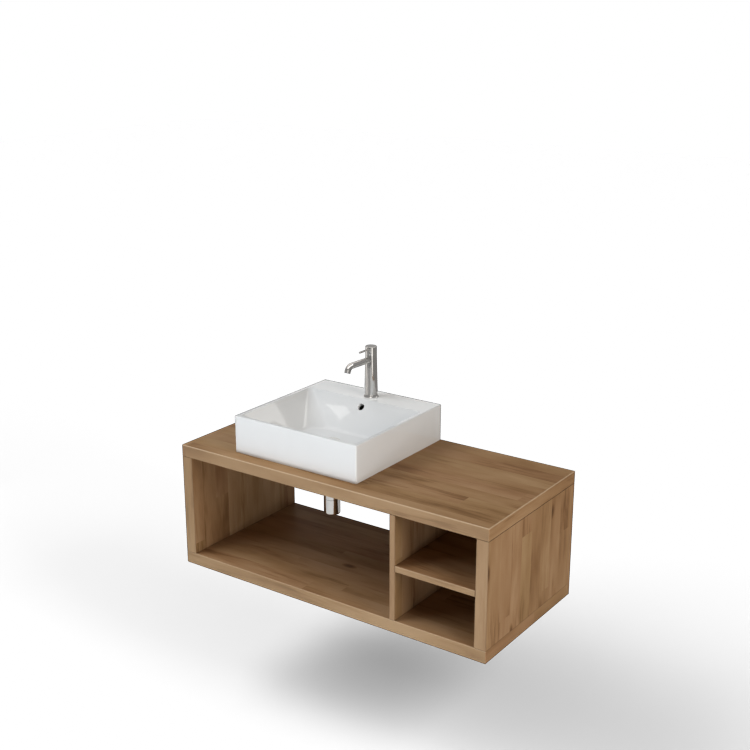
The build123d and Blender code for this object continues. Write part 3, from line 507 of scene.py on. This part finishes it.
def drill(piece, radius, centre, axis, near, far):
    """Cut a round hole through a piece, along an axis, between two distances from a centre."""
    middle = 0.0001
    profile = [(middle, near), (radius, near), (radius, far), (middle, far)]
    cutter = grid_mesh("drill", turned_about(profile, centre, axis, (1, 0, 0)), wrap_rows=True)
    cut = piece.modifiers.new("drill", "BOOLEAN")
    cut.object = cutter
    cut.solver = "EXACT"
    done = bpy.data.meshes.new_from_object(piece.evaluated_get(bpy.context.evaluated_depsgraph_get()))
    piece.modifiers.clear()
    piece.data = done
    bpy.data.objects.remove(cutter)


tap_low, tap_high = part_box("tap_body")
tap_place = ((tap_low.x + tap_high.x) / 2, (tap_low.y + tap_high.y) / 2, rim_level)
drill(basin, throat_outer, overflow_centre, overflow_axis, -cut_overrun, overflow_cut)
drill(basin, tap_hole, tap_place, (0, 0, 1), -tap_cut, cut_overrun)
smooth(basin, crease_angle)
basin.data.materials.clear()
basin.data.materials.append(white_glaze)
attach(basin, "root")
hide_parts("basin")

lip = [
    (overflow_radius + overflow_round * (1 - cos(turn)), overflow_round * (1 - sin(turn)))
    for turn in np.linspace(pi / 2, 0, 6)
]
throat_profile = [
    *lip,
    (overflow_radius, throat_depth),
    (throat_outer + throat_flare, throat_depth),
    (throat_outer, overflow_round),
]
throat_rings = turned_about(throat_profile, overflow_centre, overflow_axis, (1, 0, 0))
throat = grid_mesh("overflow_throat", throat_rings)
smooth(throat, crease_angle)
throat.data.materials.append(white_glaze)
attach(throat, "root")

# Waste and push plug: chrome flange, tube and plug cap over a brass rod and nut, sealed by rubber
# rings. The flange is clamped through the basin and the top board by the nut below.
chrome_bright = (0.84, 0.815, 0.785, 1)
chrome_dull = (0.74, 0.715, 0.685, 1)
brass_bright = (0.78, 0.60, 0.32, 1)
brass_dull = (0.62, 0.45, 0.22, 1)
rubber_grey = (0.035, 0.035, 0.036, 1)
rubber_black = (0.018, 0.018, 0.018, 1)
plastic_white = (0.74, 0.74, 0.72, 1)
plastic_grey = (0.66, 0.66, 0.63, 1)


def metal(name, bright, dull, rough_low, rough_high):
    """Plated or turned metal: fine rub marks vary its tone and gloss."""
    material, tree, shader = new_material(name)
    place = node(tree, "ShaderNodeTexCoord").outputs["Object"]
    rubbed = stretched_noise(tree, place, 120.0, 900.0, 3.0)
    haze = stretched_noise(tree, place, 22.0, 22.0, 4.0)
    worn = math(tree, "ADD", math(tree, "MULTIPLY", rubbed, 0.4), math(tree, "MULTIPLY", haze, 0.6))
    tint = node(tree, "ShaderNodeMix", {"Factor": worn, "A": bright, "B": dull}, data_type="RGBA")
    tree.links.new(tint.outputs["Result"], shader.inputs["Base Color"])
    tree.links.new(mapped(tree, worn, 0.3, 0.7, rough_low, rough_high), shader.inputs["Roughness"])
    shader.inputs["Metallic"].default_value = 1.0
    return material


def moulded(name, pale, deep, rough_low, rough_high, grain):
    """Moulded rubber or plastic: fine grain in tone, gloss and surface."""
    material, tree, shader = new_material(name)
    place = node(tree, "ShaderNodeTexCoord").outputs["Object"]
    speckle = stretched_noise(tree, place, grain, grain, 4.0)
    tint = node(tree, "ShaderNodeMix", {"Factor": speckle, "A": pale, "B": deep}, data_type="RGBA")
    tree.links.new(tint.outputs["Result"], shader.inputs["Base Color"])
    tree.links.new(mapped(tree, speckle, 0.3, 0.7, rough_low, rough_high), shader.inputs["Roughness"])
    bump = node(tree, "ShaderNodeBump", {"Height": speckle, "Strength": 0.2, "Distance": 0.0002})
    tree.links.new(bump.outputs["Normal"], shader.inputs["Normal"])
    return material


chrome = metal("chrome", chrome_bright, chrome_dull, 0.05, 0.12)
brass = metal("brass", brass_bright, brass_dull, 0.22, 0.38)
rubber = moulded("black_rubber", rubber_grey, rubber_black, 0.55, 0.75, 700.0)
plastic = moulded("white_plastic", plastic_white, plastic_grey, 0.35, 0.5, 500.0)
for part in ("waste_body", "plug_cap"):
    finish_node(part, chrome)
for part in ("waste_nut", "plug_plunger"):
    finish_node(part, brass)
for part in ("flange_seal", "waste_washer", "plug_seal"):
    finish_node(part, rubber)
finish_node("click_housing", plastic)

# Bottle trap: chrome-plated brass, screwed to the waste, with a cup that comes off below and a pipe
# to the wall behind a domed rosette. Rubber rings seal each joint.
for part in ("trap_union_nut", "trap_inlet_tube", "trap_neck_nut", "trap_head", "trap_cup"):
    finish_node(part, chrome)
for part in ("outlet_nut", "wall_pipe", "wall_rosette"):
    finish_node(part, chrome)
for part in ("union_gasket", "neck_gasket", "cup_gasket", "outlet_gasket"):
    finish_node(part, rubber)

# Mixer tap: polished chrome body on a flared base ring, bent spout with a plastic aerator, and a
# round handle cap with a thin lever rod, which tips and turns on the cartridge.
for part in ("tap_base_ring", "tap_body", "spout", "handle_cap", "lever_rod"):
    finish_node(part, chrome)
for part in ("aerator", "cartridge_housing", "cartridge_rotor"):
    finish_node(part, plastic)
finish_node("cartridge_nut", brass)
finish_node("base_gasket", rubber)

# Steel parts of the tap: pivot pin, stem and set screw in the handle, and the stud, horseshoe
# washer and nut that pull the tap down on the basin's ledge over a rubber gasket.
zinc_bright = (0.58, 0.58, 0.57, 1)
zinc_dull = (0.44, 0.44, 0.44, 1)
zinc = metal("zinc_steel", zinc_bright, zinc_dull, 0.28, 0.45)
for part in ("lever_pivot_pin", "lever_stem", "handle_set_screw", "fixing_stud", "stud_washer"):
    finish_node(part, zinc)
finish_node("stud_nut", brass)
finish_node("stud_gasket", rubber)

# Floor: pale and plain, below the hung cabinet at the height it would have in a bathroom. Only the
# shadow on it shows.
hanging_height = 0.45
floor_level = cad_low.z - hanging_height
floor_half = 14.0
quarters = [(-1, -1), (1, -1), (1, 1), (-1, 1)]
floor_corners = [(x * floor_half, y * floor_half, floor_level) for x, y in quarters]
floor_mesh = bpy.data.meshes.new("floor")
floor_mesh.from_pydata(floor_corners, [], [(0, 1, 2, 3)])
floor = bpy.data.objects.new("floor", floor_mesh)
bpy.context.scene.collection.objects.link(floor)
floor_paint, tree, shader = new_material("floor_paint")
shader.inputs["Base Color"].default_value = (0.85, 0.85, 0.85, 1)
shader.inputs["Roughness"].default_value = 0.8
floor_mesh.materials.append(floor_paint)
floor.is_shadow_catcher = True

# Studio light: a soft box high at the front left, a tall one at the right, a faint one behind and a
# low fill at the front. The background is plain white to the camera and a dim room to all else.
room_level = 0.04
reflected_room_level = 0.27
world = bpy.data.worlds.new("studio")
bpy.context.scene.world = world
world.use_nodes = True
tree = world.node_tree
sees = node(tree, "ShaderNodeLightPath").outputs
seen = math(tree, "MAXIMUM", sees["Is Camera Ray"], sees["Is Transmission Ray"])
reflected = mapped(tree, sees["Is Glossy Ray"], 0.0, 1.0, room_level, reflected_room_level)
level = math(tree, "MAXIMUM", seen, reflected)
tree.links.new(level, tree.nodes["Background"].inputs["Strength"])
tree.nodes["Background"].inputs["Color"].default_value = (1, 1, 1, 1)


def towards(azimuth, elevation):
    """Unit vector at an angle round from the front to the right, and an angle up, in degrees."""
    turn, lift = radians(azimuth), radians(elevation)
    return Vector((sin(turn) * cos(lift), -cos(turn) * cos(lift), sin(lift)))


def soft_box(name, direction, distance, width, height, level, tint):
    """Soft box that faces the object; its level is what it gives a white surface facing it. Shiny
    surfaces reflect the cards of the next section in place of it."""
    light = bpy.data.lights.new(name, "AREA")
    light.shape = "RECTANGLE"
    light.size = width
    light.size_y = height
    light.energy = level * pi**2 * distance**2
    light.color = tint
    box = bpy.data.objects.new(name, light)
    box.location = direction * distance
    box.rotation_mode = "QUATERNION"
    box.rotation_quaternion = (-direction).to_track_quat("-Z", "Y")
    box.visible_glossy = False
    bpy.context.scene.collection.objects.link(box)


cool_white = (0.93, 0.97, 1.0)
warm_white = (1.0, 0.96, 0.90)
soft_box("front_left_light", towards(-49, 44), 3.4, 2.4, 2.4, 0.72, cool_white)
soft_box("right_light", towards(75, 27), 3.6, 1.6, 2.2, 0.52, warm_white)
soft_box("back_light", towards(152, 44), 3.4, 3.0, 1.6, 0.03, warm_white)
soft_box("low_fill_light", towards(15, -6), 3.6, 2.0, 0.6, 0.41, cool_white)

# Reflector cards: panels that only shiny surfaces see, so that glaze and chrome have something to
# reflect. Pale ones stand across the back and beside the camera or hang high up, and dark ones stand
# low down.
card_low = floor_level + 0.03
back_plane = 0.75
overhead = 2.6


def upright(azimuth, distance, width, top):
    """Corners of an upright panel on the floor that faces the object."""
    out = towards(azimuth, 0) * distance
    side = towards(azimuth + 90, 0) * (width / 2)
    return [
        (out.x + end * side.x, out.y + end * side.y, z)
        for end, z in ((-1, card_low), (1, card_low), (1, top), (-1, top))
    ]


def across_back(left, right, low, top):
    """Corners of an upright panel behind the object, between two widths and two heights."""
    spots = ((left, low), (right, low), (right, top), (left, top))
    return [(x, back_plane, z) for x, z in spots]


def hung_overhead(*spots):
    """Corners of a level panel above the object, over four spots of the floor."""
    return [(x, y, overhead) for x, y in spots]


def standing(start, end, low, top):
    """Corners of an upright panel over a line between two spots of the floor."""
    return [(*start, low), (*end, low), (*end, top), (*start, top)]


def card(name, corners, brightness):
    """Flat panel between four corners that glows evenly, seen by reflections alone."""
    mesh = bpy.data.meshes.new(name)
    mesh.from_pydata(corners, [], [(0, 1, 2, 3)])
    panel = bpy.data.objects.new(name, mesh)
    bpy.context.scene.collection.objects.link(panel)
    material, tree, shader = new_material(name)
    shader.inputs["Base Color"].default_value = (0, 0, 0, 1)
    shader.inputs["Roughness"].default_value = 1.0
    shader.inputs["Specular IOR Level"].default_value = 0.0
    shader.inputs["Emission Color"].default_value = (1, 0.98, 0.95, 1)
    shader.inputs["Emission Strength"].default_value = brightness
    mesh.materials.append(material)
    panel.visible_camera = False
    panel.visible_diffuse = False
    panel.visible_transmission = False
    panel.visible_shadow = False


back_corners = [(0.63, 2.07, 2.29), (1.43, 2.02, 1.46), (1.96, 1.19, 2.15), (1.16, 1.25, 2.99)]
left_corners = [
    (-2.125, -1.542, 2.343),
    (-1.996, -1.551, 2.378),
    (-1.968, -1.576, 2.364),
    (-2.011, -1.609, 2.317),
]
card("pale_back_card", back_corners, 2.9)
card("pale_left_card", left_corners, 3.2)
card("pale_ledge_card", across_back(-1.00, -0.35, 0.38, 0.61), 1.3)
card("pale_side_card", across_back(-2.30, -1.00, -0.30, 0.58), 1.1)
card("dark_wall_card", across_back(-1.00, -0.45, -0.30, 0.37), 0.05)
card("pale_rim_card", across_back(-2.30, -0.35, 0.80, 2.60), 1.1)
card("pale_edge_card", hung_overhead((-2.4, -1.2), (-1.3, -1.2), (-1.3, 1.0), (-2.4, 1.0)), 1.4)
card("pale_corner_card", hung_overhead((1.0, 0.9), (2.3, 1.2), (0.9, -2.1), (-1.2, -1.9)), 2.2)
card("pale_strip_card", upright(56, 2.4, 0.55, 0.45), 1.8)
card("pale_low_card", upright(-75, 2.4, 1.8, 0.30), 0.75)
card("dark_right_card", upright(104, 2.6, 2.6, 0.55), 0.22)
card("dark_back_card", upright(168, 2.6, 2.8, 0.25), 0.24)
card("pale_ring_card_1", standing((0.58, -2.34), (1.06, -2.17), 0.45, 1.70), 1.3)
card("pale_ring_card_2", standing((1.62, -1.79), (1.95, -1.42), 0.45, 1.70), 1.3)

# Camera: from the front right and a little above, as the picture was taken. Place, direction and lens
# were fitted to the cabinet's edges.
camera_azimuth = radians(35.13)
camera_elevation = radians(17.17)
camera_data = bpy.data.cameras.new("camera")
camera_data.lens = 58.557
camera_data.sensor_width = 36.0
camera = bpy.data.objects.new("camera", camera_data)
backward = Vector((
    sin(camera_azimuth) * cos(camera_elevation),
    -cos(camera_azimuth) * cos(camera_elevation),
    sin(camera_elevation),
))
camera.location = (1.9918, -3.0692, 1.3954)
camera.rotation_mode = "QUATERNION"
camera.rotation_quaternion = (-backward).to_track_quat("-Z", "Y")
bpy.context.scene.collection.objects.link(camera)
bpy.context.scene.camera = camera
bpy.context.scene.view_settings.view_transform = "Standard"
